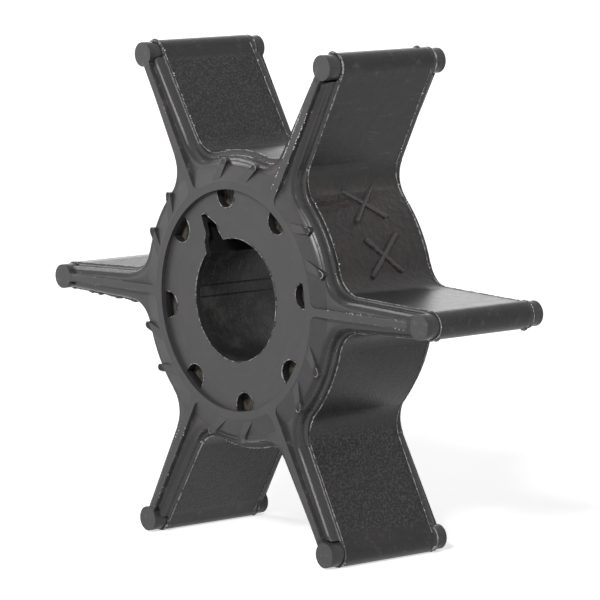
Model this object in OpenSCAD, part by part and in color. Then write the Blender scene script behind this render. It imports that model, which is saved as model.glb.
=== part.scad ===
// Six-vane rubber pump impeller with a moulded-in hub bush.
// The shaft's axis lies along Y and the marked face looks towards -Y.
// The origin is on the shaft's axis, halfway through the width.

/* [Vanes] */
// Number of vanes round the hub
vane_count = 6; // [5:1:7]
// Radius from the shaft's axis to the centre of each tip bead
tip_circle_r = 27; // [25:0.5:32]
// Width of the whole impeller along the shaft
impeller_w = 14.9; // [12:0.1:22]
// Diameter of the round bead along each vane's tip
bead_d = 2.7; // [2.6:0.1:3.4]
// Diameter of the peg at each end of a bead
peg_d = 2.45; // [2:0.05:2.6]
// Angle by which each vane side leans in towards the tip
vane_draft = 2; // [0.5:0.25:3]

/* [Hub] */
// Radius of the hub between two vanes
hub_r = 14.65; // [14:0.05:16]
// Fillet between the hub and a vane
root_fillet_r = 3; // [2:0.25:4]

/* [Moulded edge] */
// Depth from the marked face's plane to the thick part of a vane
front_edge_depth = 1.7; // [1.5:0.05:2]
// Depth from the back face's plane to the thick part of a vane
back_edge_depth = 1.9; // [1.7:0.05:2.2]
// Depth from the marked face's plane to the end of a bead
front_bead_depth = 1.6; // [1.2:0.05:1.9]
// Depth from the back face's plane to the end of a bead
back_bead_depth = 1.3; // [1:0.05:1.8]
// Inset of the moulded edge from the vane's side
vane_inset = 0.3; // [0.1:0.05:0.4]
// Inset of the moulded edge from the hub's surface
hub_inset = 0.65; // [0.4:0.05:0.8]
// Radius of the rounded shoulder of the moulded edge
shoulder_r = 0.35; // [0.2:0.05:0.45]
// Radius of the hollow at the foot of the moulded edge
cove_r = 0.4; // [0.2:0.05:0.45]

/* [Web on the end faces] */
// Height of the ribs and the ring above the shoulder of the marked face
front_web_h = 0.5; // [0.3:0.05:0.6]
// Height of the ribs and the ring above the shoulder of the back face
back_web_h = 0.75; // [0.5:0.05:0.8]
// Width of the rib that runs out along each vane
rib_w = 0.8; // [0.6:0.05:1.1]
// Outer radius of the ring at its top
ring_r = 11.7; // [11.4:0.1:12]
// Width of the flat left between the ring's sloping edge and the rolled shoulder of the hub
ring_land_w = 0.05; // [0.05:0.05:0.6]
// Fillet between a rib and the ring
rib_fillet_r = 0.9; // [0.5:0.1:1.2]
// Radius of the shallow recess inside the ring
recess_r = 10.9; // [10.5:0.1:11.1]
// Depth of the recess
recess_depth = 0.5; // [0.3:0.05:0.7]

/* [Teeth on the marked face] */
// Depth from the marked face's plane to the flat tops of the slanted teeth
tooth_drop = 0.05; // [0.05:0.05:0.25]
// Radius that the teeth reach
tooth_tip_r = 14; // [13.5:0.1:14.2]
// Radius of a tooth's rounded tip
tooth_round_r = 0.32; // [0.2:0.02:0.4]
// Angle that a tooth's root takes on the ring
tooth_root_angle = 8.5; // [6:0.5:10]
// Angle from a tooth's root to its tip
tooth_lean = 12; // [8:0.5:14]
// Angle between the two teeth of a gap
tooth_pitch = 19; // [17:0.5:21]
// Angle by which a gap's pair of roots lies ahead of the gap's middle
tooth_offset = 7; // [5:0.5:8]

/* [Raised crosses on the hub] */
// Direction of the first cross from the right-hand vane
cross_start = 19.8; // [18:0.2:22]
// Angle between the two crosses
cross_pitch = 22; // [20:0.5:24]
// Depth of the crosses' centres from the marked face's plane
cross_depth = 7.6; // [7:0.1:8]
// Length of a cross's shorter ridge
cross_short_l = 5.1; // [4:0.1:5.5]
// Length of a cross's longer ridge
cross_long_l = 5.9; // [4:0.1:6.2]
// Width of a ridge
cross_w = 0.5; // [0.4:0.05:0.7]
// Angle between a ridge and the shaft's direction
cross_lean = 43.3; // [35:0.1:50]

/* [Bush and bore] */
// Diameter of the bore for the drive shaft
bore_d = 12; // [10:0.1:13]
// Outer diameter of the bush
bush_d = 22.6; // [21.8:0.1:23.4]
// Thickness of the rubber over the bush's ends
skin_t = 0.55; // [0.4:0.05:0.8]
// Gap between the rubber's opening and the bore, on the diameter
skin_clearance = 0.2; // [0.1:0.05:0.4]
// Width of the keyway
key_w = 3.2; // [2:0.1:4]
// Depth of the keyway from the bore's surface
key_depth = 3; // [1.5:0.1:3.2]
// Vane that the keyway lies in line with, counted from the right-hand one
key_vane = 2; // [0:1:4]
// Length of the tear in the rubber over the keyway, from the bore
tear_l = 3.5; // [2:0.1:3.8]

/* [Locating holes] */
// Number of locating holes on the marked face
hole_count = 8; // [4:1:8]
// Width of a locating hole
hole_w = 2.6; // [2:0.1:2.8]
// Length of a locating hole towards the shaft
hole_reach = 1.85; // [1.5:0.05:2.2]
// Depth of the holes' floors below the bush's end
hole_floor_depth = 0.5; // [0.3:0.05:1]
// Direction of the first hole
hole_start = 7.5; // [0:0.5:45]

/* [Hidden] */
$fn = 36;
// Segments of a turn on small round stretches
small_fn = 16;

vane_pitch = 360 / vane_count;
bead_r = bead_d / 2;
half_w = impeller_w / 2;
floor_half = half_w - recess_depth;
bush_half = floor_half - skin_t;
bore_r = bore_d / 2;
skin_open_r = bore_r + skin_clearance / 2;
key_floor_r = bore_r + key_depth;
key_angle = key_vane * vane_pitch;
// Values of the marked face, then of the back face
edge_depths = [front_edge_depth, back_edge_depth];
bead_depths = [front_bead_depth, back_bead_depth];
web_hs = [front_web_h, back_web_h];
edge_hs = edge_depths - web_hs;
// Small overshoot of a cut past the face that it opens
over = 0.5;
// Clear ring round each peg, wider than the bead
peg_gap = 0.08;
// Angle by which a corner's cut laps over the cuts beside it, and how far it stays short of their depth
corner_lap = 3;
corner_step = 0.02;
// How far a fillet bites past the lines it joins, so that they cross at a clear point
fillet_bite = 0.003;
// Wall of the bush that is too thin to stand behind a locating hole, where the hole opens the bush's side
thin_wall = 0.08;
bush_hole_r = bush_d / 2 - recess_r < thin_wall ? recess_r + thin_wall : recess_r;
// Ragged edges of the tear, as shares of its length and of the keyway's width
tear_left = [[-0.17, -0.47], [0.29, -0.36], [0.49, -0.39], [0.71, -0.22], [0.97, -0.05]];
tear_right = [[1, 0.16], [0.74, 0.2], [0.46, 0.25], [0.31, 0.42], [-0.17, 0.58]];

// Half the thickness of a vane at the axis, for a side that is tip_half thick at the tip circle
function root_half(tip_half, draft) = tip_half + tip_circle_r * tan(draft);

// Centre of the fillet between a vane's side and a hub of radius hub
function fillet_centre(hub, tip_half, fillet, draft) =
    let (slope = tan(draft))
    let (offset_y = root_half(tip_half, draft) + fillet / cos(draft))
    let (reach = hub + fillet)
    let (scale_x = 1 + slope * slope)
    let (root = sqrt(pow(offset_y * slope, 2) - scale_x * (offset_y * offset_y - reach * reach)))
    let (x = (offset_y * slope + root) / scale_x)
    [x, offset_y - slope * x];

// Point where that fillet leaves the vane's side
function side_foot(centre, fillet, draft) = centre - fillet * [sin(draft), cos(draft)];

// Point where that fillet leaves the hub
function hub_foot(centre, hub) = centre * hub / norm(centre);

module each_vane() {
    for (i = [0 : vane_count - 1])
        rotate(i * vane_pitch) children();
}

module both_sides() {
    children();
    mirror([0, 1, 0]) children();
}

// Places a piece at a depth from the plane of the marked face, 0, or the back face, 1
module from_face(face, depth) {
    mirror([0, 0, face]) translate([0, 0, half_w - depth]) children();
}

// The same straight prism through the width, between a depth from either face
module between_faces(depths) {
    translate([0, 0, depths[1] - half_w]) linear_extrude(impeller_w - depths[0] - depths[1]) children();
}

// Corner between a vane and the hub, filled out to the fillet
module corner_web(hub, tip_half, fillet, draft) {
    centre = fillet_centre(hub, tip_half, fillet, draft);
    difference() {
        polygon([[0, 0], side_foot(centre, fillet, draft), centre, hub_foot(centre, hub)]);
        translate(centre) circle(fillet + fillet_bite, $fn = small_fn);
    }
}

// Outline of a hub with its vanes, from the end
module star(hub, tip_half, fillet, draft) {
    root = root_half(tip_half, draft);
    circle(hub);
    each_vane() {
        polygon([[0, -root], [tip_circle_r, -tip_half], [tip_circle_r, tip_half], [0, root]]);
        both_sides() corner_web(hub, tip_half, fillet, draft);
    }
}

// Section of what the moulded edge lacks: x runs outwards from the edge's wall, y up from its foot
module edge_section(edge_h, reach) {
    difference() {
        translate([-shoulder_r, 0]) square([shoulder_r + reach, edge_h + over]);
        translate([-shoulder_r, edge_h - shoulder_r]) circle(shoulder_r + fillet_bite, $fn = small_fn);
        translate([-2 * shoulder_r, -shoulder_r]) square([2 * shoulder_r, edge_h]);
        difference() {
            translate([-cove_r, -cove_r]) square(2 * cove_r);
            translate([cove_r, cove_r]) circle(cove_r + fillet_bite, $fn = small_fn);
        }
    }
}

edge_tip_half = bead_r - vane_inset;
edge_hub_r = hub_r - hub_inset;
edge_centre = fillet_centre(edge_hub_r, edge_tip_half, root_fillet_r, vane_draft);
edge_side_foot = side_foot(edge_centre, root_fillet_r, vane_draft);
edge_hub_angle = atan2(edge_centre[1], edge_centre[0]);

// Cut along one side of a vane, from its root to past its tip
module edge_side_cut(edge_h) {
    side_run = tip_circle_r + bead_d - edge_side_foot[0];
    translate(edge_side_foot) rotate(-vane_draft) rotate([90, 0, 90])
        linear_extrude(side_run) edge_section(edge_h, 2 * vane_inset + cove_r);
}

// Cut round the root, between a vane's side and the hub
module edge_corner_cut(edge_h) {
    turn = 90 - vane_draft - edge_hub_angle;
    translate(edge_centre) rotate(edge_hub_angle - 180 - corner_lap)
        rotate_extrude(angle = turn + 2 * corner_lap, $fn = small_fn)
            translate([root_fillet_r - corner_step, corner_step]) mirror([1, 0])
                edge_section(edge_h, root_fillet_r - over);
}

// Cut along the hub, from the root of one vane to the root of the next
module edge_hub_cut(edge_h) {
    rotate(edge_hub_angle) rotate_extrude(angle = vane_pitch - 2 * edge_hub_angle)
        translate([edge_hub_r, 0]) edge_section(edge_h, hub_inset + cove_r);
}

// Thick vanes and hub, less the moulded edge's cuts: the sides, then the hub and pegs, then the corners
module vanes() {
    difference() {
        difference() {
            difference() {
                between_faces(web_hs) star(hub_r, bead_r, root_fillet_r, vane_draft);
                for (face = [0, 1]) from_face(face, edge_depths[face]) each_vane()
                    both_sides() edge_side_cut(edge_hs[face]);
            }
            for (face = [0, 1]) each_vane() {
                from_face(face, edge_depths[face]) edge_hub_cut(edge_hs[face]);
                from_face(face, bead_depths[face]) translate([tip_circle_r, 0, 0])
                    cylinder(h = bead_depths[face], r = bead_r + peg_gap, $fn = small_fn);
            }
        }
        for (face = [0, 1]) from_face(face, edge_depths[face]) each_vane()
            both_sides() edge_corner_cut(edge_hs[face]);
    }
}

// Round bead along each vane's tip, with a thinner peg at both ends
module tips() {
    each_vane() translate([tip_circle_r, 0, 0]) {
        between_faces(bead_depths) circle(bead_r, $fn = small_fn);
        between_faces([0, 0]) circle(peg_d / 2, $fn = small_fn);
    }
}

// Ribs along the vanes and the ring that joins them, through the whole width, and the ring's sloping edges
module web() {
    slope_r = edge_hub_r - shoulder_r - ring_land_w;
    between_faces([0, 0]) star(ring_r, rib_w / 2, rib_fillet_r, 0);
    for (face = [0, 1]) from_face(face, web_hs[face])
        cylinder(h = web_hs[face], r1 = slope_r, r2 = ring_r);
}

// One slanted tooth, from its root on the ring at angle 0
module tooth() {
    tip = (tooth_tip_r - tooth_round_r) * [cos(tooth_lean), -sin(tooth_lean)];
    root_a = recess_r * [cos(tooth_root_angle / 2), sin(tooth_root_angle / 2)];
    root_b = recess_r * [cos(tooth_root_angle / 2), -sin(tooth_root_angle / 2)];
    middle = recess_r * [1, 0];
    along = (tip - middle) / norm(tip - middle);
    across = tooth_round_r * [-along[1], along[0]];
    polygon([root_a, tip + across, tip - across, root_b]);
    translate(tip) circle(tooth_round_r, $fn = small_fn);
}

// Two teeth in each gap of the marked face
module teeth() {
    first = vane_pitch / 2 + tooth_offset - tooth_pitch / 2;
    from_face(0, front_edge_depth) linear_extrude(front_edge_depth - tooth_drop)
        each_vane() for (i = [0, 1]) rotate(first + i * tooth_pitch) tooth();
}

// One ridge of a cross, half sunk in the hub's surface
module ridge(ridge_l, lean) {
    rotate([lean, 0, 0]) cylinder(h = ridge_l, d = cross_w, center = true, $fn = small_fn);
}

// Two plain crosses on the hub, each of two ridges
module crosses() {
    from_face(0, cross_depth) for (i = [0, 1]) rotate(cross_start + i * cross_pitch)
        translate([hub_r, 0, 0]) {
            ridge(cross_short_l, -cross_lean);
            ridge(cross_long_l, cross_lean);
        }
}

// Outline of the rubber torn away over the keyway, along x
module tear() {
    outline = concat(tear_left, tear_right);
    translate([bore_r, 0]) polygon([for (p = outline) [p[0] * tear_l, p[1] * key_w]]);
}

// Outline of the keyway, along x
module keyway() {
    translate([0, -key_w / 2]) square([key_floor_r, key_w]);
}

// Locating holes: flat on a wall of radius wall_r, round towards the shaft
module hole_outline(wall_r) {
    intersection() {
        circle(wall_r);
        for (i = [0 : hole_count - 1]) rotate(hole_start + i * 360 / hole_count)
            translate([recess_r - hole_reach + hole_w / 2, 0]) {
                circle(hole_w / 2, $fn = small_fn);
                translate([0, -hole_w / 2]) square([hole_w, hole_w]);
            }
    }
}

// Room for the bush, with its openings through the rubber at both ends
module bush_room() {
    cylinder(h = 2 * bush_half, d = bush_d, center = true);
    cylinder(h = impeller_w + 2 * over, r = skin_open_r, center = true);
    for (face = [0, 1]) from_face(face, recess_depth) cylinder(h = recess_depth + over, r = recess_r);
    translate([0, 0, bush_half - over]) linear_extrude(skin_t + 2 * over) {
        rotate(key_angle) tear();
        hole_outline(recess_r);
    }
    from_face(1, recess_depth + skin_t + over) linear_extrude(skin_t + 2 * over)
        rotate(key_angle) keyway();
}

module impeller_body() {
    color([0.16, 0.16, 0.17]) rotate([90, 0, 0]) difference() {
        union() {
            vanes();
            tips();
            web();
            teeth();
            crosses();
        }
        bush_room();
    }
}

module hub_bush() {
    color([0.1, 0.1, 0.11]) rotate([90, 0, 0]) difference() {
        cylinder(h = 2 * bush_half, d = bush_d, center = true);
        cylinder(h = impeller_w, r = bore_r, center = true);
        linear_extrude(impeller_w, center = true) rotate(key_angle) keyway();
        translate([0, 0, bush_half - hole_floor_depth])
            linear_extrude(hole_floor_depth + over) hole_outline(bush_hole_r);
    }
}

impeller_body();
hub_bush();
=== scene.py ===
import math

import bmesh
import bpy
from bpy.props import FloatProperty, FloatVectorProperty, IntProperty, PointerProperty
from mathutils import Matrix, Vector


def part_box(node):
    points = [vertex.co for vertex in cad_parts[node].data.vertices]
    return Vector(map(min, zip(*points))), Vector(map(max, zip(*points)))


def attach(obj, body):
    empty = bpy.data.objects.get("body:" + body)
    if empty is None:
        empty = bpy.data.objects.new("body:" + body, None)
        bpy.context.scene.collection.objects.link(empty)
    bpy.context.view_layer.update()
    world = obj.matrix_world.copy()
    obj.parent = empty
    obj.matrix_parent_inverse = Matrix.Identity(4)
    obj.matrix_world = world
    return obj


bl_info = {
    "name": "Pump Impeller Finish",
    "version": (1, 0, 0),
    "blender": (4, 5, 0),
    "location": "3D View > Sidebar > Impeller",
    "description": "Rubber, bush, mould marks and studio stage for a flexible pump impeller",
    "category": "Object",
}

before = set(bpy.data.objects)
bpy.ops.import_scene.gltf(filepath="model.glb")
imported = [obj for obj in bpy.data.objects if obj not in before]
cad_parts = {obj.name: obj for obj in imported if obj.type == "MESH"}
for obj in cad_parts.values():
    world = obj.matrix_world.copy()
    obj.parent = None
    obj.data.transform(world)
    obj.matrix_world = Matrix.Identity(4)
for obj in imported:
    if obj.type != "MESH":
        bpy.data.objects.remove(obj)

BODY = "root"
MM = 0.001
PER_M = 1000
BODY_LOW, BODY_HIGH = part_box("impeller_body")
HALF_WIDTH = BODY_HIGH.y * PER_M
REACH = BODY_HIGH.x * PER_M


# Sizes and colours that a user would change

class ImpellerForm(bpy.types.PropertyGroup):
    """Sizes in millimetres by which the finish finds its places on the solid impeller"""

    vane_count: IntProperty(
        name="Vanes", description="Number of vanes round the hub", default=6, min=3)
    bead_radius: FloatProperty(
        name="Bead radius", description="Radius of the bead at a vane's tip", default=1.35)
    front_panel_depth: FloatProperty(
        name="Front panel depth", default=1.7,
        description="From the marked face's plane to the thick part of a vane")
    back_panel_depth: FloatProperty(
        name="Back panel depth", default=1.9,
        description="From the back face's plane to the thick part of a vane")
    front_bead_depth: FloatProperty(
        name="Front bead depth", default=1.6,
        description="From the marked face's plane to the end of a bead")
    back_bead_depth: FloatProperty(
        name="Back bead depth", default=1.3,
        description="From the back face's plane to the end of a bead")
    recess_depth: FloatProperty(
        name="Recess depth", default=0.5,
        description="From the marked face's plane to the floor of its recess")
    rib_width: FloatProperty(
        name="Rib width", description="Width of the rib along each vane", default=0.8)
    hub_radius: FloatProperty(
        name="Hub radius", description="Radius of the hub's thick part", default=14.65)
    edge_hub_radius: FloatProperty(
        name="Edge hub radius", description="Radius of the hub's thin edge", default=14.0)
    root_blend: FloatProperty(
        name="Root blend", default=5.3,
        description="Reach of the rounding between a vane and the hub")
    edge_half: FloatProperty(
        name="Edge half width", default=1.05,
        description="Half the width of a vane's thin edge, at its tip")
    vane_draft: FloatProperty(
        name="Vane draft", description="Slope of a vane's sides towards its tip",
        default=math.radians(2), subtype="ANGLE", unit="ROTATION")


class MouldMarks(bpy.types.PropertyGroup):
    """Thin flash on the mould's parting lines, nubs on the beads and loose flecks"""

    flash_width: FloatProperty(
        name="Flash width", description="Thickness of the flash along a parting line",
        default=0.10 * MM, subtype="DISTANCE", unit="LENGTH", precision=5)
    collar_width: FloatProperty(
        name="Collar width", description="Thickness of the flash round the end of a bead",
        default=0.17 * MM, subtype="DISTANCE", unit="LENGTH", precision=5)
    fin_width: FloatProperty(
        name="Fin width", description="Thickness of the ragged fin under the left vane",
        default=0.34 * MM, subtype="DISTANCE", unit="LENGTH", precision=5)
    flash_step: FloatProperty(
        name="Flash step", description="Length over which the flash changes",
        default=0.2 * MM, subtype="DISTANCE", unit="LENGTH", precision=5)
    fleck_size: FloatProperty(
        name="Fleck size", description="Usual size of a loose pale fleck",
        default=0.13 * MM, subtype="DISTANCE", unit="LENGTH", precision=5)
    nub_radius: FloatProperty(
        name="Nub radius", description="Radius of the nubs left on the beads by the mould's vents",
        default=0.3 * MM, subtype="DISTANCE", unit="LENGTH", precision=5)
    seed: IntProperty(
        name="Seed", description="Picks other ragged edges and other flecks", default=4)


class RubberFinish(bpy.types.PropertyGroup):
    """Colours and grain of the moulded rubber"""

    colour: FloatVectorProperty(
        name="Rubber", description="Dark grey of the rubber", subtype="COLOR",
        size=3, min=0, max=1, default=(0.021, 0.021, 0.022))
    warm: FloatVectorProperty(
        name="Warm mottling", description="Brownish grey in the mottling", subtype="COLOR",
        size=3, min=0, max=1, default=(0.034, 0.027, 0.026))
    # Pale dust and scuffs, and also the colour of the painted highlights on the grain, the crosses'
    # crests and the flash
    bloom_and_highlight: FloatVectorProperty(
        name="Bloom", description="Pale dust and scuffs", subtype="COLOR",
        size=3, min=0, max=1, default=(0.30, 0.30, 0.295))
    fleck: FloatVectorProperty(
        name="Flecks", description="Loose pale flecks of rubber dust", subtype="COLOR",
        size=3, min=0, max=1, default=(0.62, 0.61, 0.59))
    grain_depth: FloatProperty(
        name="Grain depth", description="Height of the grain on the vanes' sides",
        default=0.14 * MM, subtype="DISTANCE", unit="LENGTH", precision=6)


class BushFinish(bpy.types.PropertyGroup):
    """Colours of the hub bush"""

    colour: FloatVectorProperty(
        name="Bush", description="Smooth near-black wall of the bore", subtype="COLOR",
        size=3, min=0, max=1, default=(0.013, 0.0125, 0.0125))
    stain: FloatVectorProperty(
        name="Stain", description="Worn grey patches of the bore's wall", subtype="COLOR",
        size=3, min=0, max=1, default=(0.055, 0.052, 0.050))
    floor: FloatVectorProperty(
        name="Hole floors", description="Brownish grey floors of the locating holes",
        subtype="COLOR", size=3, min=0, max=1, default=(0.09, 0.078, 0.062))


class StageSettings(bpy.types.PropertyGroup):
    """Camera and floor"""

    camera_place: FloatVectorProperty(
        name="Camera place", description="Where the camera stands",
        subtype="TRANSLATION", unit="LENGTH", size=3, default=(0.3036, -0.2606, 0.0510))
    azimuth: FloatProperty(
        name="Azimuth", description="Turn of the view round the upright axis, from the marked face",
        default=math.radians(49.21), subtype="ANGLE", unit="ROTATION")
    elevation: FloatProperty(
        name="Elevation", description="Angle by which the camera looks down",
        default=math.radians(7.35), subtype="ANGLE", unit="ROTATION")
    roll: FloatProperty(
        name="Roll", description="Turn of the camera about its own view",
        default=math.radians(-0.38), subtype="ANGLE", unit="ROTATION")
    lens: FloatProperty(
        name="Lens", description="Focal length in millimetres on a 36 mm sensor", default=245.14)
    floor_colour: FloatVectorProperty(
        name="Floor", description="Plain pale floor", subtype="COLOR",
        size=3, min=0, max=1, default=(0.8, 0.8, 0.8))
    floor_glow: FloatProperty(
        name="Floor glow", description="Level by which the camera sees the floor lifted",
        default=0.6, min=0, max=1)
    far_floor_glow: FloatProperty(
        name="Far floor glow", default=0.87, min=0, max=1,
        description="The same level far from the impeller, where the lamps don't reach")


# Shader maths

SPECULAR_LEVEL = 0.26


class Wire:
    """A socket of a shader tree that takes part in Python expressions."""

    def __init__(self, tree, socket=None):
        self.tree = tree
        self.socket = socket

    def add(self, kind, settings=None, values=None, out=0):
        """Adds a node: first its settings, then the values or wires of its sockets."""
        node = self.tree.nodes.new("ShaderNode" + kind)
        for name, value in (settings or {}).items():
            setattr(node, name, value)
        for name, value in (values or {}).items():
            if isinstance(value, Wire):
                self.tree.links.new(value.socket, node.inputs[name])
            else:
                node.inputs[name].default_value = value
        return Wire(self.tree, node.outputs[out] if node.outputs else None)

    def maths(self, operation, *others):
        """A Math node of this wire and any others."""
        return self.add("Math", {"operation": operation}, dict(enumerate((self, *others))))

    def __add__(self, other):
        return self.maths("ADD", other)

    def __sub__(self, other):
        return self.maths("SUBTRACT", other)

    def __mul__(self, other):
        return self.maths("MULTIPLY", other)

    def __neg__(self):
        return self * -1

    def __rsub__(self, other):
        return -self + other

    __radd__ = __add__
    __rmul__ = __mul__

    def size(self):
        return self.maths("ABSOLUTE")

    def smaller(self, other):
        return self.maths("MINIMUM", other)

    def larger(self, other):
        return self.maths("MAXIMUM", other)

    def rise(self, low, high):
        """0 below low and 1 above high, or the other way round if high is the lower one."""
        return self.add("MapRange", {"interpolation_type": "SMOOTHSTEP"},
                        {"Value": self, "From Min": low, "From Max": high})

    def band(self, low, high, soft):
        """1 between low and high, fading over soft outside them."""
        return self.rise(low - soft, low) * self.rise(high + soft, high)

    def split(self):
        """The three numbers of a vector."""
        first = self.add("SeparateXYZ", None, {"Vector": self})
        return first, *(Wire(self.tree, first.socket.node.outputs[i]) for i in (1, 2))

    def join(self, second, third):
        """A vector of three numbers."""
        return self.add("CombineXYZ", None, {0: self, 1: second, 2: third})

    def stretch(self, x, y, z):
        """A vector with each number multiplied."""
        return self.add("VectorMath", {"operation": "MULTIPLY"}, {0: self, 1: (x, y, z)})

    def noise(self, grains_per_mm, detail=2.0, roughness=0.5):
        """Even noise at a place in millimetres, from 0 to 1."""
        return self.add("TexNoise", None, {
            "Vector": self, "Scale": grains_per_mm, "Detail": detail, "Roughness": roughness})

    def blend(self, first, second):
        """A colour between two, by this factor."""
        return self.add("Mix", {"data_type": "RGBA"}, {0: self, 6: first, 7: second}, out=2)


def colour_of(value):
    return (*value, 1)


def new_material(name):
    """A material with an empty tree, and the object's place in millimetres as a wire."""
    material = bpy.data.materials.new(name)
    material.use_nodes = True
    material.node_tree.nodes.clear()
    start = Wire(material.node_tree)
    place = start.add("TexCoord", out=3)
    return material, start, place.stretch(PER_M, PER_M, PER_M)


def finish_material(start, colour, roughness, height):
    """Ends a tree: height is the relief in millimetres."""
    bump = start.add("Bump", None, {"Strength": 1.0, "Distance": MM, "Height": height})
    shader = start.add("BsdfPrincipled", None, {
        "Base Color": colour, "Roughness": roughness, "Normal": bump,
        "Specular IOR Level": SPECULAR_LEVEL})
    start.add("OutputMaterial", None, {"Surface": shader})


# Directions in degrees from the right-hand vane

GAP_REACH = 33
MARKED_GAP = 30  # the gap with the raised crosses
CALM_GAP = -90  # the lowest gap, where the grain is softer
CROSSES = 30.8
CROSSES_REACH = 21
BORE_LINES = ((172.5, 1.3), (183, 1.0))  # direction and reach of each

# Zones in millimetres of depth under a face, radius or way along a vane. Two numbers say where
# a zone is 0 and where it is 1. Three are a band from low to high and how far it fades.

PANEL_DEPTHS = (1.55, 1.95)
PANEL_RADII = (13.0, 14.2)
FACE_DEPTHS = (0.62, 0.52)
EDGE_DEPTH_BAND = (0.62, 1.6, 0.08)
EDGE_RADII = (11.5, 12.5)
RECESS_RADII = (11.0, 10.8)
HUB_RADII = (16.2, 15.0)
TIP_START, TIP_END = 25.3, 25.9
ROLL_INSETS = (0.0, 0.95)
GLOSS_INSET_BAND = (-0.2, 0.62, 0.15)
CROWN_RADIUS_BAND = (14.78, 15.15, 0.06)
CROWN_DEPTHS = (2.3, 2.6)
RIB_SIDE_BAND = (0.32, 0.5, 0.1)
RIB_LENGTHS = (13.4, 14.2)
HOLE_DEPTH_BAND = (1.45, 1.7, 0.05)
HOLE_RADII = (7.6, 8.0)
BORE_RADII = (6.2, 6.1)

ROLL_RELIEF = 0.36
# Near-black painted shade, put into the pits of the grain
PAINTED_PIT_SHADE = (0.005, 0.005, 0.005, 1)


class Places:
    """Where a point of the impeller lies, as wires in millimetres and radians."""

    def __init__(self, place, form):
        x, self.y, z = place.split()
        self.radius = (x * x + z * z).maths("SQRT")
        self.angle = z.maths("ARCTAN2", x)
        pitch = 2 * math.pi / form.vane_count
        folded = self.angle.maths("WRAP", pitch / 2, -pitch / 2)
        self.along = self.radius * folded.maths("COSINE")
        self.across = (self.radius * folded.maths("SINE")).size()
        self.depth = HALF_WIDTH - self.y.size()
        tip_circle = REACH - form.bead_radius
        half = form.edge_half + (tip_circle - self.along) * math.tan(form.vane_draft)
        on_hub = form.edge_hub_radius - self.radius
        self.inset = (half - self.across).maths("SMOOTH_MAX", on_hub, form.root_blend)

    def near_angle(self, degrees, reach):
        """1 at a direction from the right-hand vane, fading to 0 over reach in degrees."""
        turn = (self.angle - math.radians(degrees)).maths("WRAP", math.pi, -math.pi)
        return turn.size().rise(math.radians(reach), 0)

    def in_gap(self, degrees):
        """1 in the gap between two vanes that lies in this direction, fading to 0 at both."""
        return self.near_angle(degrees, GAP_REACH).rise(0.02, 0.1)


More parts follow.
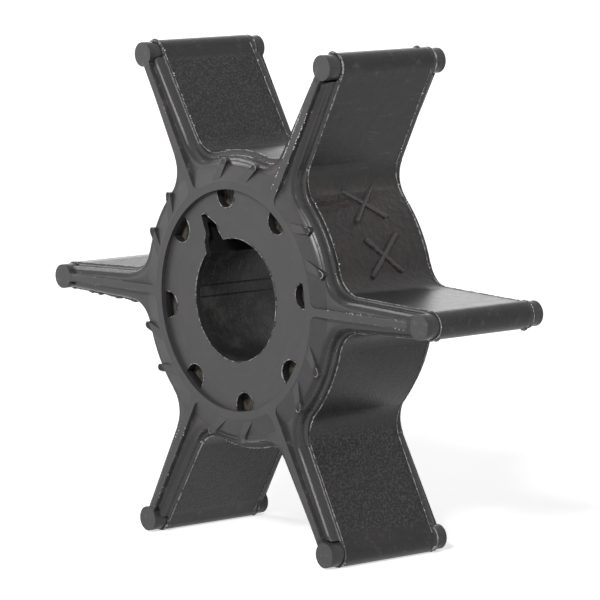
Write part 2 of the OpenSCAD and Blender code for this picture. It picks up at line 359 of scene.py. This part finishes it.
def rubber_material(scene):
    """Satin rubber: grained vane sides with painted shade in the grain's pits and painted
    highlights on its raised tops, glossy rolled edges, a painted highlight on the crosses' crests,
    faint flow rings on the hub's face.
    """
    form, finish = scene.impeller_form, scene.impeller_rubber
    material, start, place = new_material("moulded_rubber")
    at = Places(place, form)

    # Zones, from 0 to 1
    panel = at.depth.rise(*PANEL_DEPTHS) * at.radius.rise(*PANEL_RADII)
    face = at.depth.rise(*FACE_DEPTHS)
    edge = at.depth.band(*EDGE_DEPTH_BAND) * at.radius.rise(*EDGE_RADII)
    recess = face * at.radius.rise(*RECESS_RADII)
    hub = at.radius.rise(*HUB_RADII) * panel
    tip = at.along.rise(TIP_START, TIP_END)
    off_tip = at.along.rise(TIP_END, TIP_START)
    marked_gap = at.in_gap(MARKED_GAP)
    calm_gap = at.in_gap(CALM_GAP)
    smooth_gap = marked_gap * panel
    roll = at.inset.rise(*ROLL_INSETS) * off_tip
    rolled = at.inset.band(*GLOSS_INSET_BAND) * edge.larger(face) * off_tip
    by_crosses = at.near_angle(CROSSES, CROSSES_REACH).rise(0.0, 0.15)
    # Crown: the crests of the raised crosses, glossier and painted paler as a painted highlight
    crown = by_crosses * at.radius.band(*CROWN_RADIUS_BAND) * at.depth.rise(*CROWN_DEPTHS)
    grained = (panel * (1 - smooth_gap * 0.92) * (1 - tip * 0.85) * (1 - hub * 0.8)
               * (1 - calm_gap * 0.6))

    # Patterns, from 0 to 1
    mottle = place.noise(0.32, 4.0, 0.6)
    patches = place.noise(1.1, 3.0, 0.6)
    grain = place.noise(4.8, 2.0, 0.6)
    fine = place.noise(9.0, 2.0)
    scuffs = place.stretch(2.6, 0.4, 2.6).noise(1.0, 4.0, 0.7)
    drift = place.noise(0.14)
    rings = (at.radius * 1.7 + drift * 5.0).join(at.angle * 0.8, 0.0).noise(1.0, 2.0)

    # Colour: mottled rubber with painted shade, near black, in the pits between the grains
    brownish = marked_gap * hub * patches.rise(0.35, 0.55) * 0.6
    warmth = (mottle.rise(0.45, 0.65) * 0.5 + brownish).smaller(1.0)
    plain = warmth.blend(colour_of(finish.colour), colour_of(finish.warm))
    pit_shaded = (grain.rise(0.56, 0.40) * grained * 0.6).blend(plain, PAINTED_PIT_SHADE)

    # Pale dust on top of it, each kind times its share, with painted highlights on the raised grain
    # and on the crosses' crests
    # Painted highlight: paler where the grain stands high
    grain_top_highlight = grain.rise(0.49, 0.63) * grained * 0.12
    streaks = scuffs.rise(0.56, 0.70) * smooth_gap * (1 - hub) * patches.rise(0.40, 0.6) * 0.14
    rib_edge = at.across.band(*RIB_SIDE_BAND) * at.along.rise(*RIB_LENGTHS) * face
    rib_dust = fine.rise(0.52, 0.66) * patches.rise(0.5, 0.62) * rib_edge * 0.5
    peg_dust = fine.rise(0.55, 0.75) * tip * face * 0.10
    tip_dust = tip * panel * patches.rise(0.55, 0.75) * 0.10
    # Pale dust over the face, a paler band along the moulded edges, and a painted highlight on the
    # crosses' crests
    film_and_highlight = (face * (1 - rolled * 0.7) * (0.02 + fine * 0.06 + patches * 0.05)
            + edge * 0.10 + crown * 0.10)
    # The pale share holds both dust and the painted highlights
    dust = (grain_top_highlight + streaks + rib_dust + peg_dust + tip_dust + film_and_highlight).smaller(1.0)
    dusty_and_highlighted = dust.blend(pit_shaded, colour_of(finish.bloom_and_highlight))

    roughness = (0.33 + face * 0.15 - edge * 0.07 - rolled * face * 0.18 + grained * 0.07
                 - smooth_gap * 0.03 - crown * 0.1
                 + (patches - 0.5) * 0.14 + (rings - 0.5) * recess * 0.12)
    depth = finish.grain_depth * PER_M
    height = (grain * grained * depth + fine * (grained * 0.2 + 0.03) * depth
              + rings * recess * 0.02 + patches * panel * 0.03 + scuffs * smooth_gap * 0.012
              + place.noise(2.2) * edge * 0.018 + place.noise(1.7, 3.0) * hub * marked_gap * 0.15
              + roll * ROLL_RELIEF)
    finish_material(start, dusty_and_highlighted, roughness, height)
    return material


def bush_material(scene):
    """Hard smooth bush: worn near-black bore with two fine lines, brownish floors in the holes."""
    finish = scene.impeller_bush
    material, start, place = new_material("hard_bush")
    at = Places(place, scene.impeller_form)
    floor = at.depth.band(*HOLE_DEPTH_BAND) * at.radius.rise(*HOLE_RADII)
    bore = at.radius.rise(*BORE_RADII)
    first, second = (at.near_angle(*line) for line in BORE_LINES)
    lines = (first + second).smaller(1.0) * bore
    stains = place.noise(0.45, 4.0, 0.65)
    scratches = place.stretch(0.5, 3.2, 0.5).noise(1.2, 3.0, 0.6)
    speckle = place.noise(6.0, 2.0, 0.7)
    streaks = place.stretch(2.6, 1.0, 0.7).noise(1.6, 3.0, 0.6)
    spots = speckle.rise(0.52, 0.66) * scratches.rise(0.42, 0.6)
    worn = (stains.rise(0.45, 0.7) * 0.6 + spots) * bore * (1 - lines)
    wall = worn.smaller(1.0).blend(colour_of(finish.colour), colour_of(finish.stain))
    colour = (floor * streaks.rise(0.3, 0.6)).blend(wall, colour_of(finish.floor))
    roughness = 0.34 + floor * 0.3 + (stains - 0.5) * 0.2 + (speckle - 0.5) * 0.1
    height = (scratches * 0.02 + speckle * 0.014 - lines * 0.05) * bore + streaks * floor * 0.08
    finish_material(start, colour, roughness, height)
    return material


def flash_material(scene):
    """Thin torn rubber that light catches, given a pale tint as its painted highlight, paler in
    broken stretches.
    """
    finish = scene.impeller_rubber
    material, start, place = new_material("rubber_flash")
    broken = place.noise(1.6, 3.0, 0.7).rise(0.40, 0.56)
    colour = (broken * 0.75 + 0.12).blend(colour_of(finish.colour), colour_of(finish.bloom_and_highlight))
    finish_material(start, colour, 0.36 + broken * 0.14, place.noise(6.0) * 0.03)
    return material


def fleck_material(scene, name, share):
    """Crumbs and flecks, from dark rubber to pale dust."""
    finish = scene.impeller_rubber
    material, start, place = new_material(name)
    pale = place.noise(2.6, 2.0).rise(share + 0.08, share - 0.08)
    colour = pale.blend(colour_of(finish.colour), colour_of(finish.fleck))
    finish_material(start, colour, 0.5 + pale * 0.1, place.noise(9.0) * 0.02)
    return material


# Edges of the solids that the mould marks follow

class Spot:
    """Where a point of the solid lies, in millimetres, with the vane that it belongs to."""

    def __init__(self, point, vane_count):
        x, y, z = (number * PER_M for number in point)
        pitch = 360 / vane_count
        turned = math.degrees(math.atan2(z, x)) + pitch / 2
        self.vane = int(turned // pitch) % vane_count
        lean = math.radians(turned % pitch - pitch / 2)
        self.radius = math.hypot(x, z)
        self.along = self.radius * math.cos(lean)
        self.across = self.radius * math.sin(lean)
        self.front_depth = HALF_WIDTH + y
        self.back_depth = HALF_WIDTH - y


def sharp_edges(form, step=0.5, fold=math.radians(40)):
    """The body's sharp edges, as short stretches: a Spot of the middle and both ends."""
    solid = bmesh.new()
    solid.from_mesh(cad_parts["impeller_body"].data)
    bmesh.ops.remove_doubles(solid, verts=solid.verts, dist=MM * 0.001)
    stretches = []
    for edge in solid.edges:
        if len(edge.link_faces) == 2 and edge.calc_face_angle() > fold:
            start, end = (vertex.co.copy() for vertex in edge.verts)
            parts = math.ceil((end - start).length * PER_M / step)
            points = [start.lerp(end, i / parts) for i in range(parts + 1)]
            for first, second in zip(points, points[1:]):
                stretches.append((Spot((first + second) / 2, form.vane_count), first, second))
    solid.free()
    return stretches


def edge_lines(name, stretches, wanted):
    """An object of the stretches whose middle is wanted, joined end to end."""
    lines = bmesh.new()
    for spot, first, second in stretches:
        if wanted(spot):
            lines.edges.new((lines.verts.new(first), lines.verts.new(second)))
    bmesh.ops.remove_doubles(lines, verts=lines.verts, dist=MM * 0.002)
    mesh = bpy.data.meshes.new(name)
    lines.to_mesh(mesh)
    lines.free()
    piece = bpy.data.objects.new(name, mesh)
    bpy.context.scene.collection.objects.link(piece)
    return piece


# Where the marks lie, in millimetres, with the vanes counted from the right-hand one

LEFT_VANE = 3
WORN_VANES = 2
FIN_STRETCHES = ((16.9, 18.6), (19.3, 24.8))
RIB_STRETCH = (13, 25.5)
TOOTH_DEPTH = 0.1
TOOTH_RADII = (13.5, 14.3)
TOOTH_CLEARANCE = 2
OPENING_RADIUS = 10.6

# How far a spot may be from where an edge should lie, in millimetres

LEVEL_SLACK = 0.02
COLLAR_SLACK = 0.03
PANEL_SLACK = 0.05
SIDE_SLACK = 0.06
RADIUS_SLACK = 0.1


def between(limits, number):
    low, high = limits
    return low < number < high


class Rims:
    """Tests that tell the impeller's edges apart, in millimetres."""

    def __init__(self, form):
        self.form = form
        self.tip_circle = REACH - form.bead_radius

    def at_level(self, spot, front_depth, back_depth, slack):
        """Whether a spot lies this deep under the marked face, or under the back face."""
        return (abs(spot.front_depth - front_depth) < slack
                or abs(spot.back_depth - back_depth) < slack)

    def at_panel(self, spot):
        form = self.form
        level = self.at_level(spot, form.front_panel_depth, form.back_panel_depth, PANEL_SLACK)
        outside = spot.radius > form.hub_radius - RADIUS_SLACK
        return level and outside and spot.along < self.tip_circle

    def at_front_panel(self, spot):
        return self.at_panel(spot) and spot.front_depth < HALF_WIDTH

    def at_fin(self, spot):
        torn = any(between(stretch, spot.along) for stretch in FIN_STRETCHES)
        return self.at_front_panel(spot) and spot.vane == LEFT_VANE and spot.across > 0 and torn

    def at_collar(self, spot):
        form = self.form
        level = self.at_level(spot, form.front_bead_depth, form.back_bead_depth, COLLAR_SLACK)
        from_centre = math.hypot(spot.along - self.tip_circle, spot.across)
        return level and from_centre > form.bead_radius - SIDE_SLACK

    def at_rib(self, spot):
        beside = abs(abs(spot.across) - self.form.rib_width / 2) < SIDE_SLACK
        return spot.front_depth < LEVEL_SLACK and beside and between(RIB_STRETCH, spot.along)

    def at_worn_rib(self, spot):
        return self.at_rib(spot) and spot.vane < WORN_VANES

    def at_tooth(self, spot):
        return (spot.front_depth < TOOTH_DEPTH and between(TOOTH_RADII, spot.radius)
                and abs(spot.across) > TOOTH_CLEARANCE)

    def at_opening(self, spot):
        return (abs(spot.front_depth - self.form.recess_depth) < LEVEL_SLACK
                and spot.radius < OPENING_RADIUS)


# Geometry Nodes

class NodeTree:
    """A Geometry Nodes tree with named inputs, built in the script. It starts from plain edges."""

    def __init__(self, name, inputs):
        self.tree = bpy.data.node_groups.new(name, "GeometryNodeTree")
        self.sockets = {}
        face = self.tree.interface
        face.new_socket("Geometry", in_out="INPUT", socket_type="NodeSocketGeometry")
        for label, kind in inputs.items():
            self.sockets[label] = face.new_socket(
                label, in_out="INPUT", socket_type="NodeSocket" + kind)
        face.new_socket("Geometry", in_out="OUTPUT", socket_type="NodeSocketGeometry")
        self.given = self.tree.nodes.new("NodeGroupInput").outputs
        self.result = self.tree.nodes.new("NodeGroupOutput")
        self.curves = self.add("GeometryNodeMeshToCurve", None, {"Mesh": self.given["Geometry"]})

    def add(self, kind, settings=None, values=None, out=0):
        """Adds a node: first its settings, then the values or links of its sockets."""
        node = self.tree.nodes.new(kind)
        for name, value in (settings or {}).items():
            setattr(node, name, value)
        for name, value in (values or {}).items():
            if isinstance(value, bpy.types.NodeSocket):
                self.tree.links.new(value, node.inputs[name])
            else:
                node.inputs[name].default_value = value
        return node.outputs[out]

    def maths(self, operation, first, second):
        return self.add("ShaderNodeMath", {"operation": operation}, {0: first, 1: second})

    def random_number(self, low, high, seed):
        return self.add("FunctionNodeRandomValue", {"data_type": "FLOAT"}, {
            2: low, 3: high, "Seed": seed}, out=1)

    def random_vector(self, low, high, scale, seed):
        """A random vector for each point, times a number."""
        vector = self.add("FunctionNodeRandomValue", {"data_type": "FLOAT_VECTOR"}, {
            0: (low, low, low), 1: (high, high, high), "Seed": seed})
        return self.add("ShaderNodeVectorMath", {"operation": "SCALE"}, {
            0: vector, "Scale": scale})

    def waves(self, per_m, calm, rough, detail=2.0, low=0.35, high=0.65):
        """Noise along the surface, mapped from its own low and high to calm and rough."""
        noise = self.add("ShaderNodeTexNoise", None, {"Scale": per_m, "Detail": detail})
        return self.add("ShaderNodeMapRange", None, {
            "Value": noise, "From Min": low, "From Max": high, "To Min": calm, "To Max": rough})

    def end(self, geometry):
        """Ends the tree in Realize Instances and Set Material."""
        real = self.add("GeometryNodeRealizeInstances", None, {"Geometry": geometry})
        painted = self.add("GeometryNodeSetMaterial", None, {
            "Geometry": real, "Material": self.given["Material"]})
        self.tree.links.new(painted, self.result.inputs[0])


def flash_tree():
    """Sweeps a ragged bead of flash along edges, thinned out where Gaps is high."""
    made = NodeTree("ragged_flash", {
        "Width": "Float", "Step": "Float", "Gaps": "Float", "Seed": "Int", "Material": "Material"})
    steps = made.add("GeometryNodeResampleCurve", {"mode": "LENGTH"}, {
        "Curve": made.curves, "Length": made.given["Step"]})
    uneven = made.random_number(0.6, 1.3, made.given["Seed"])
    swell = made.waves(420.0, 0.55, 1.5)
    gaps = made.given["Gaps"]
    left = made.waves(700.0, 0.15, 0.5, 3.0, gaps, made.maths("ADD", gaps, 0.06))
    ragged = made.maths("MULTIPLY", made.maths("MULTIPLY", uneven, swell), left)
    radius = made.maths("MULTIPLY", ragged, made.given["Width"])
    section = made.add("GeometryNodeCurvePrimitiveCircle", None, {"Resolution": 6, "Radius": 1.0})
    made.end(made.add("GeometryNodeCurveToMesh", None, {
        "Curve": steps, "Profile Curve": section, "Scale": radius, "Fill Caps": True}))
    return made


def fleck_tree():
    """Scatters uneven flecks beside edges, on a share of evenly spaced points."""
    made = NodeTree("scattered_flecks", {
        "Spacing": "Float", "Size": "Float", "Share": "Float", "Spread": "Float",
        "Seed": "Int", "Material": "Material"})
    seed = made.given["Seed"]
    points = made.add("GeometryNodeCurveToPoints", {"mode": "LENGTH"}, {
        "Curve": made.curves, "Length": made.given["Spacing"]})
    wavy = made.waves(260.0, 0.2, 1.8)
    chance = made.maths("MULTIPLY", made.random_number(0.3, 1.0, seed), wavy)
    picked = made.add("FunctionNodeCompare", {"data_type": "FLOAT", "operation": "LESS_THAN"}, {
        0: chance, 1: made.given["Share"]})
    moved = made.add("GeometryNodeSetPosition", None, {
        "Geometry": points, "Offset": made.random_vector(-1, 1, made.given["Spread"], seed)})
    grain = made.add("GeometryNodeMeshIcoSphere", None, {"Radius": 0.5, "Subdivisions": 1})
    made.end(made.add("GeometryNodeInstanceOnPoints", None, {
        "Points": moved, "Selection": picked, "Instance": grain,
        "Rotation": made.random_vector(0, math.tau, 1.0, seed),
        "Scale": made.random_vector(0.35, 1.5, made.given["Size"], seed)}))
    return made


def apply_tree(piece, made, values):
    """Runs a tree on an object of edges and returns a new object with its plain mesh."""
    modifier = piece.modifiers.new("nodes", "NODES")
    modifier.node_group = made.tree
    for label, value in values.items():
        modifier[made.sockets[label].identifier] = value
    name = piece.name
    piece.name = name + "_path"
    depsgraph = bpy.context.evaluated_depsgraph_get()
    mesh = bpy.data.meshes.new_from_object(piece.evaluated_get(depsgraph), depsgraph=depsgraph)
    bpy.data.objects.remove(piece)
    mesh.name = name
    result = bpy.data.objects.new(name, mesh)
    bpy.context.scene.collection.objects.link(result)
    return result


def mesh_object(name, form_mesh, material):
    """An object from a bmesh, with outward faces and one material."""
    bmesh.ops.recalc_face_normals(form_mesh, faces=form_mesh.faces)
    mesh = bpy.data.meshes.new(name)
    form_mesh.to_mesh(mesh)
    form_mesh.free()
    mesh.materials.append(material)
    piece = bpy.data.objects.new(name, mesh)
    bpy.context.scene.collection.objects.link(piece)
    return piece


def keep(piece):
    """Shades a piece smooth. It rides with the impeller."""
    for polygon in piece.data.polygons:
        polygon.use_smooth = True
    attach(piece, BODY)


# Operators

class IMPELLER_OT_rubber(bpy.types.Operator):
    """Give the moulded body its satin, grained rubber"""

    bl_idname = "impeller.rubber"
    bl_label = "Rubber Moulding"

    def execute(self, context):
        material = rubber_material(context.scene)
        for material_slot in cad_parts["impeller_body"].material_slots:
            material_slot.material = material
        return {"FINISHED"}


class IMPELLER_OT_bush(bpy.types.Operator):
    """Give the hub bush its smooth dark wall and stained hole floors"""

    bl_idname = "impeller.bush"
    bl_label = "Hub Bush"

    def execute(self, context):
        material = bush_material(context.scene)
        for material_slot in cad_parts["hub_bush"].material_slots:
            material_slot.material = material
        return {"FINISHED"}


class IMPELLER_OT_flash(bpy.types.Operator):
    """Run ragged flash along parting lines, bead ends, teeth and openings, and a fin on one vane"""

    bl_idname = "impeller.flash"
    bl_label = "Parting Flash"

    def execute(self, context):
        form, marks = context.scene.impeller_form, context.scene.impeller_marks
        pale = flash_material(context.scene)
        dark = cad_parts["impeller_body"].material_slots[0].material
        rims, stretches, tree = Rims(form), sharp_edges(form), flash_tree()
        # The pale pieces carry the flash's painted highlight; the tooth caps put it along the
        # teeth's tips.
        for name, wanted, width, gaps, material in (
                ("parting_flash", rims.at_panel, marks.flash_width, 0.0, pale),
                ("bead_collars", rims.at_collar, marks.collar_width, 0.40, pale),
                ("tooth_caps", rims.at_tooth, marks.flash_width, 0.36, pale),
                ("opening_rim", rims.at_opening, marks.flash_width, 0.38, pale),
                ("vane_fin", rims.at_fin, marks.fin_width, 0.42, dark)):
            keep(apply_tree(edge_lines(name, stretches, wanted), tree, {
                "Width": width, "Step": marks.flash_step, "Gaps": gaps, "Seed": marks.seed,
                "Material": material}))
        return {"FINISHED"}


class IMPELLER_OT_flecks(bpy.types.Operator):
    """Scatter pale flecks on the worn edges, and crumbs round the torn openings"""

    bl_idname = "impeller.flecks"
    bl_label = "Flecks and Crumbs"

    def execute(self, context):
        form, marks = context.scene.impeller_form, context.scene.impeller_marks
        pale = fleck_material(context.scene, "pale_flecks", 0.7)
        crumbs = fleck_material(context.scene, "rubber_crumbs", 0.24)
        rims, stretches, tree = Rims(form), sharp_edges(form), fleck_tree()
        for name, wanted, spacing, scale, share, spread, material in (
                ("rib_flecks", rims.at_worn_rib, 0.22, 0.95, 0.42, 0.05, pale),
                ("rib_specks", rims.at_rib, 0.4, 0.8, 0.2, 0.06, pale),
                ("edge_flecks", rims.at_panel, 0.26, 0.95, 0.32, 0.07, pale),
                ("collar_flecks", rims.at_collar, 0.3, 0.9, 0.25, 0.08, pale),
                ("opening_crumbs", rims.at_opening, 0.16, 1.2, 0.8, 0.06, crumbs)):
            keep(apply_tree(edge_lines(name, stretches, wanted), tree, {
                "Spacing": spacing * MM, "Size": marks.fleck_size * scale, "Share": share,
                "Spread": spread * MM, "Seed": marks.seed, "Material": material}))
        return {"FINISHED"}


# Each nub's vane, end of the bead, place across the width from that end, and turn round the bead

NUBS = (
    (0, "front", 0.1, -62), (0, "back", -0.3, -80), (1, "front", 0.1, 48), (1, "back", -1.2, 40),
    (2, "front", -0.15, -42), (3, "front", 0.2, 65), (4, "front", 0.15, 80), (5, "back", -0.2, 20),
)
NUB_SHAPE = (0.7, 1.0, 1.2, 1)


class IMPELLER_OT_nubs(bpy.types.Operator):
    """Leave small vent nubs on the beads, beside the ends where the pegs begin"""

    bl_idname = "impeller.nubs"
    bl_label = "Vent Nubs"

    def execute(self, context):
        form, marks = context.scene.impeller_form, context.scene.impeller_marks
        ends = {"front": -HALF_WIDTH + form.front_bead_depth,
                "back": HALF_WIDTH - form.back_bead_depth}
        nubs = bmesh.new()
        for vane, end, shift, turn in NUBS:
            y = (ends[end] + shift) * MM
            add_nub(nubs, form, vane * 360 / form.vane_count, turn, y, marks.nub_radius)
        keep(mesh_object("vent_nubs", nubs, flash_material(context.scene)))
        return {"FINISHED"}


def add_nub(nubs, form, vane_angle, turn, y, radius):
    """A low rounded nub on the bead at vane_angle, turned round the bead from its outer line."""
    direction = math.radians(vane_angle)
    lean = math.radians(vane_angle + turn)
    tip_circle = REACH - form.bead_radius
    x = (tip_circle * math.cos(direction) + form.bead_radius * math.cos(lean)) * MM
    z = (tip_circle * math.sin(direction) + form.bead_radius * math.sin(lean)) * MM
    place = (Matrix.Translation((x, y, z)) @ Matrix.Rotation(-lean, 4, "Y")
             @ Matrix.Diagonal(NUB_SHAPE))
    bmesh.ops.create_icosphere(nubs, subdivisions=3, radius=radius, matrix=place)


# Each lamp's name, place and side in metres, and power in watts

LAMPS = (
    ("front_right", (0.42, -0.72, 0.55), 0.18, 8.0),
    ("front_left", (-0.72, -0.62, 0.05), 0.5, 3.2),
    ("top_left", (-0.68, -0.12, 0.65), 0.3, 2.5),
    ("back_left", (-0.74, 0.65, 0.24), 0.6, 1.2),
)
FILL_LEVEL = 0.18
FLOOR_FADE = (0.3, 1.2)
FLOOR_HALF = 3.0


class IMPELLER_OT_stage(bpy.types.Operator):
    """Set the floor, the lamps, the white surroundings and the camera"""

    bl_idname = "impeller.stage"
    bl_label = "Stage"

    def execute(self, context):
        scene = context.scene
        settings = scene.impeller_stage
        add_floor(settings)
        for lamp in LAMPS:
            add_lamp(*lamp)
        add_world(scene)
        add_camera(scene, settings)
        scene.view_settings.view_transform = "Standard"
        return {"FINISHED"}


def add_floor(settings):
    """A wide pale floor that shows as white to the camera where no shadow falls."""
    material = bpy.data.materials.new("pale_floor")
    material.use_nodes = True
    material.node_tree.nodes.clear()
    start = Wire(material.node_tree)
    plain = start.add("BsdfDiffuse", None, {"Color": colour_of(settings.floor_colour)})
    x, y, _ = start.add("TexCoord", out=3).split()
    far = (x * x + y * y).maths("SQRT").rise(*FLOOR_FADE)
    glow = far * (settings.far_floor_glow - settings.floor_glow) + settings.floor_glow
    lifted = start.add("Emission", None, {"Strength": seen_rays(start) * glow})
    both = start.add("AddShader", None, {0: plain, 1: lifted})
    start.add("OutputMaterial", None, {"Surface": both})
    plane = bmesh.new()
    bmesh.ops.create_grid(plane, x_segments=1, y_segments=1, size=FLOOR_HALF)
    bmesh.ops.translate(plane, verts=plane.verts, vec=(0, 0, BODY_LOW.z))
    mesh_object("floor", plane, material)


def add_lamp(name, place, size, watts):
    """A square soft lamp that looks at the impeller."""
    data = bpy.data.lights.new(name, "AREA")
    data.shape = "SQUARE"
    data.size = size
    data.energy = watts
    lamp = bpy.data.objects.new(name, data)
    lamp.location = place
    lamp.rotation_euler = (-Vector(place)).to_track_quat("-Z", "Y").to_euler()
    bpy.context.scene.collection.objects.link(lamp)


def seen_rays(start):
    """1 for the rays of the camera, of reflections and of what is seen through glass."""
    node = start.add("LightPath").socket.node
    camera, glossy, through = (
        Wire(start.tree, node.outputs[name])
        for name in ("Is Camera Ray", "Is Glossy Ray", "Is Transmission Ray"))
    return camera.larger(glossy).larger(through)


def add_world(scene):
    """Plain light all round, and white for the camera and for reflections."""
    world = bpy.data.worlds.new("studio")
    scene.world = world
    world.use_nodes = True
    world.node_tree.nodes.clear()
    start = Wire(world.node_tree)
    white = start.add("Background", None, {"Color": (1, 1, 1, 1), "Strength": 1.0})
    fill = start.add("Background", None, {"Color": (1, 1, 1, 1), "Strength": FILL_LEVEL})
    mixed = start.add("MixShader", None, {0: seen_rays(start), 1: fill, 2: white})
    start.add("OutputWorld", None, {"Surface": mixed})


def add_camera(scene, settings):
    data = bpy.data.cameras.new("photo_view")
    data.sensor_width = 36
    data.lens = settings.lens
    data.clip_start = 0.01
    data.clip_end = 20
    camera = bpy.data.objects.new("photo_view", data)
    scene.collection.objects.link(camera)
    turn = (Matrix.Rotation(settings.azimuth, 4, "Z")
            @ Matrix.Rotation(math.pi / 2 - settings.elevation, 4, "X")
            @ Matrix.Rotation(settings.roll, 4, "Z"))
    camera.matrix_world = Matrix.Translation(settings.camera_place) @ turn
    scene.camera = camera


class IMPELLER_PT_panel(bpy.types.Panel):
    """Lists the pieces of the impeller's finish"""

    bl_idname = "IMPELLER_PT_panel"
    bl_label = "Impeller"
    bl_space_type = "VIEW_3D"
    bl_region_type = "UI"
    bl_category = "Impeller"

    def draw(self, context):
        for operator in OPERATORS:
            self.layout.operator(operator.bl_idname)
        for group in GROUPS:
            settings = getattr(context.scene, group)
            box = self.layout.box()
            for name in settings.__annotations__:
                box.prop(settings, name)


GROUPS = {
    "impeller_form": ImpellerForm,
    "impeller_marks": MouldMarks,
    "impeller_rubber": RubberFinish,
    "impeller_bush": BushFinish,
    "impeller_stage": StageSettings,
}
OPERATORS = (
    IMPELLER_OT_rubber, IMPELLER_OT_bush, IMPELLER_OT_flash, IMPELLER_OT_flecks,
    IMPELLER_OT_nubs, IMPELLER_OT_stage,
)


def register():
    for made in (*GROUPS.values(), *OPERATORS, IMPELLER_PT_panel):
        bpy.utils.register_class(made)
    for name, group in GROUPS.items():
        setattr(bpy.types.Scene, name, PointerProperty(type=group))


def unregister():
    for name in GROUPS:
        delattr(bpy.types.Scene, name)
    for made in (IMPELLER_PT_panel, *reversed(OPERATORS), *reversed(tuple(GROUPS.values()))):
        bpy.utils.unregister_class(made)


def main():
    register()
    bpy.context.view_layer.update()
    bpy.ops.impeller.rubber()
    bpy.ops.impeller.bush()
    bpy.ops.impeller.flash()
    bpy.ops.impeller.flecks()
    bpy.ops.impeller.nubs()
    bpy.ops.impeller.stage()


if __name__ == "__main__":
    main()
